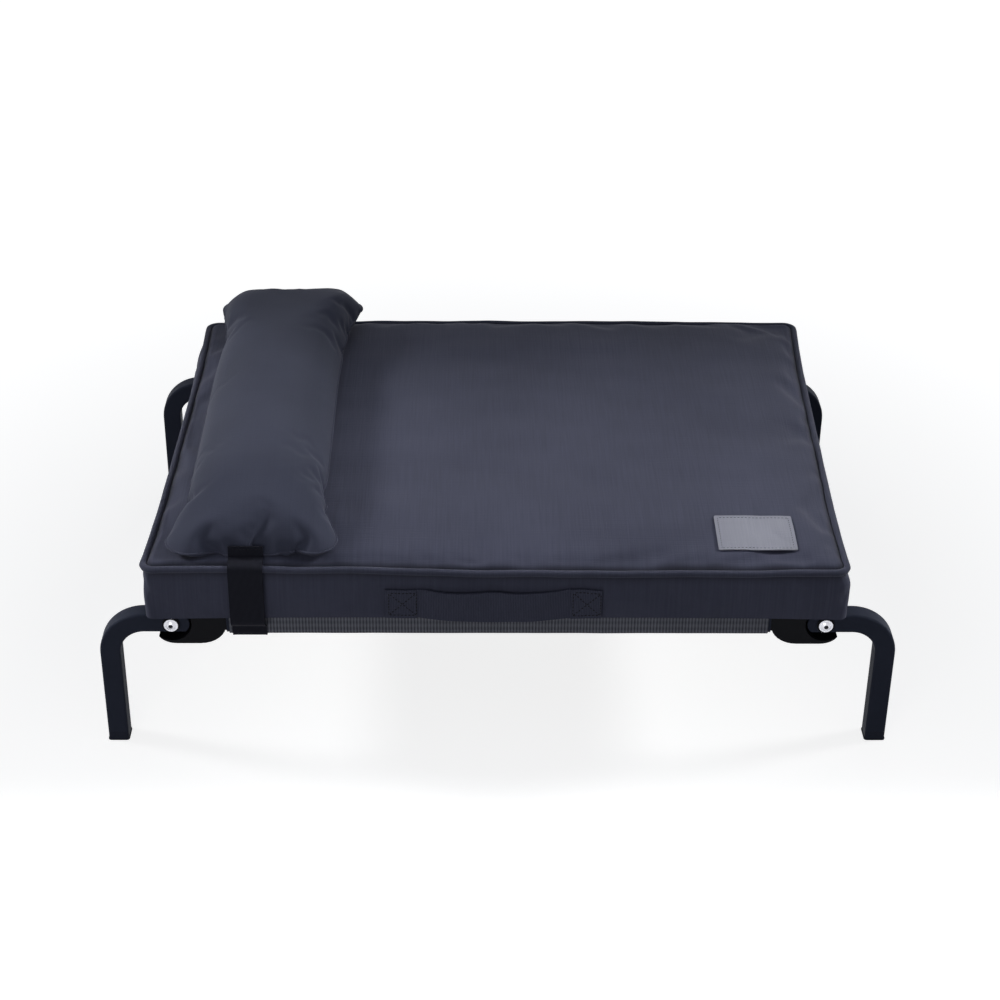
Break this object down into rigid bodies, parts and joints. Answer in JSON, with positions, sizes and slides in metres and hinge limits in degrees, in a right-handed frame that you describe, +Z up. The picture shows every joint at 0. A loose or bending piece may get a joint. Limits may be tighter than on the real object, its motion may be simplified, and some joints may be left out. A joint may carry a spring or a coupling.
{
  "type": "raised dog cot",
  "caption": "Raised dog cot: bent-tube legs bolted to a tube frame with a stretched mesh deck, a boxed cushion with piping and carry handle, and a pillow on an elastic strap.",
  "frame": {"origin": "on the floor, under the middle of the cot", "axes": "+X along the length, with the pillow at -X; +Y to the back; +Z up"},
  "size_m": [0.7812, 0.54, 0.2799],
  "materials": {
    "tube_steel": "satin powder coat, blue-black",
    "black_plastic": "moulded, fine grain",
    "plated_steel": "bright zinc plate",
    "mesh": "ribbed dark grey mesh",
    "cushion_fabric": "fine matt charcoal-blue weave",
    "piping": "covered cord, same cloth",
    "filling": "open-cell foam and fibre",
    "webbing": "folded cloth and tape",
    "elastic": "black ribbed elastic",
    "patch": "plain pale grey patch"
  },
  "bodies": {
    "frame": {"leg_front_left": "tube_steel", "leg_front_right": "tube_steel", "leg_back_left": "tube_steel", "leg_back_right": "tube_steel", "foot_front_left": "black_plastic", "foot_front_right": "black_plastic", "foot_back_left": "black_plastic", "foot_back_right": "black_plastic", "bracket_front_left": "black_plastic", "bracket_front_right": "black_plastic", "bracket_back_left": "black_plastic", "bracket_back_right": "black_plastic", "front_rail": "tube_steel", "back_rail": "tube_steel", "left_end_rail": "tube_steel", "right_end_rail": "tube_steel", "frame_bolts": "plated_steel", "lock_nuts": "plated_steel", "bolt_washers": "black_plastic", "mesh_deck": "mesh", "front_sleeve": "mesh", "back_sleeve": "mesh", "left_sleeve": "mesh", "right_sleeve": "mesh"},
    "cushion": {"cushion_cover": "cushion_fabric", "cushion_core": "filling", "cushion_piping": "piping", "carry_handle": "webbing", "sewn_patch": "patch", "zip_tape": "webbing"},
    "pillow": {"pillow_cover": "cushion_fabric", "pillow_filling": "filling", "pillow_strap": "elastic"},
    "zip_slider": {"zip_slider": "plated_steel"},
    "zip_pull": {"zip_pull": "plated_steel"}
  },
  "joints": [
    {"name": "cushion_lift", "type": "slide", "parent": "frame", "child": "cushion", "axis": [0, 0, 1], "range_m": [0, 0.22], "deforming": ["pillow_strap"]},
    {"name": "pillow_slide", "type": "slide", "parent": "cushion", "child": "pillow", "axis": [1, 0, 0], "range_m": [0, 0.11]},
    {"name": "zip_slide", "type": "slide", "parent": "cushion", "child": "zip_slider", "axis": [0, -1, 0], "range_m": [0, 0.31]},
    {"name": "zip_pull_swing", "type": "hinge", "parent": "zip_slider", "child": "zip_pull", "pos_m": [0.34225, 0.158, 0.1766], "axis": [0, -1, 0], "range_deg": [0, 160]}
  ]
}
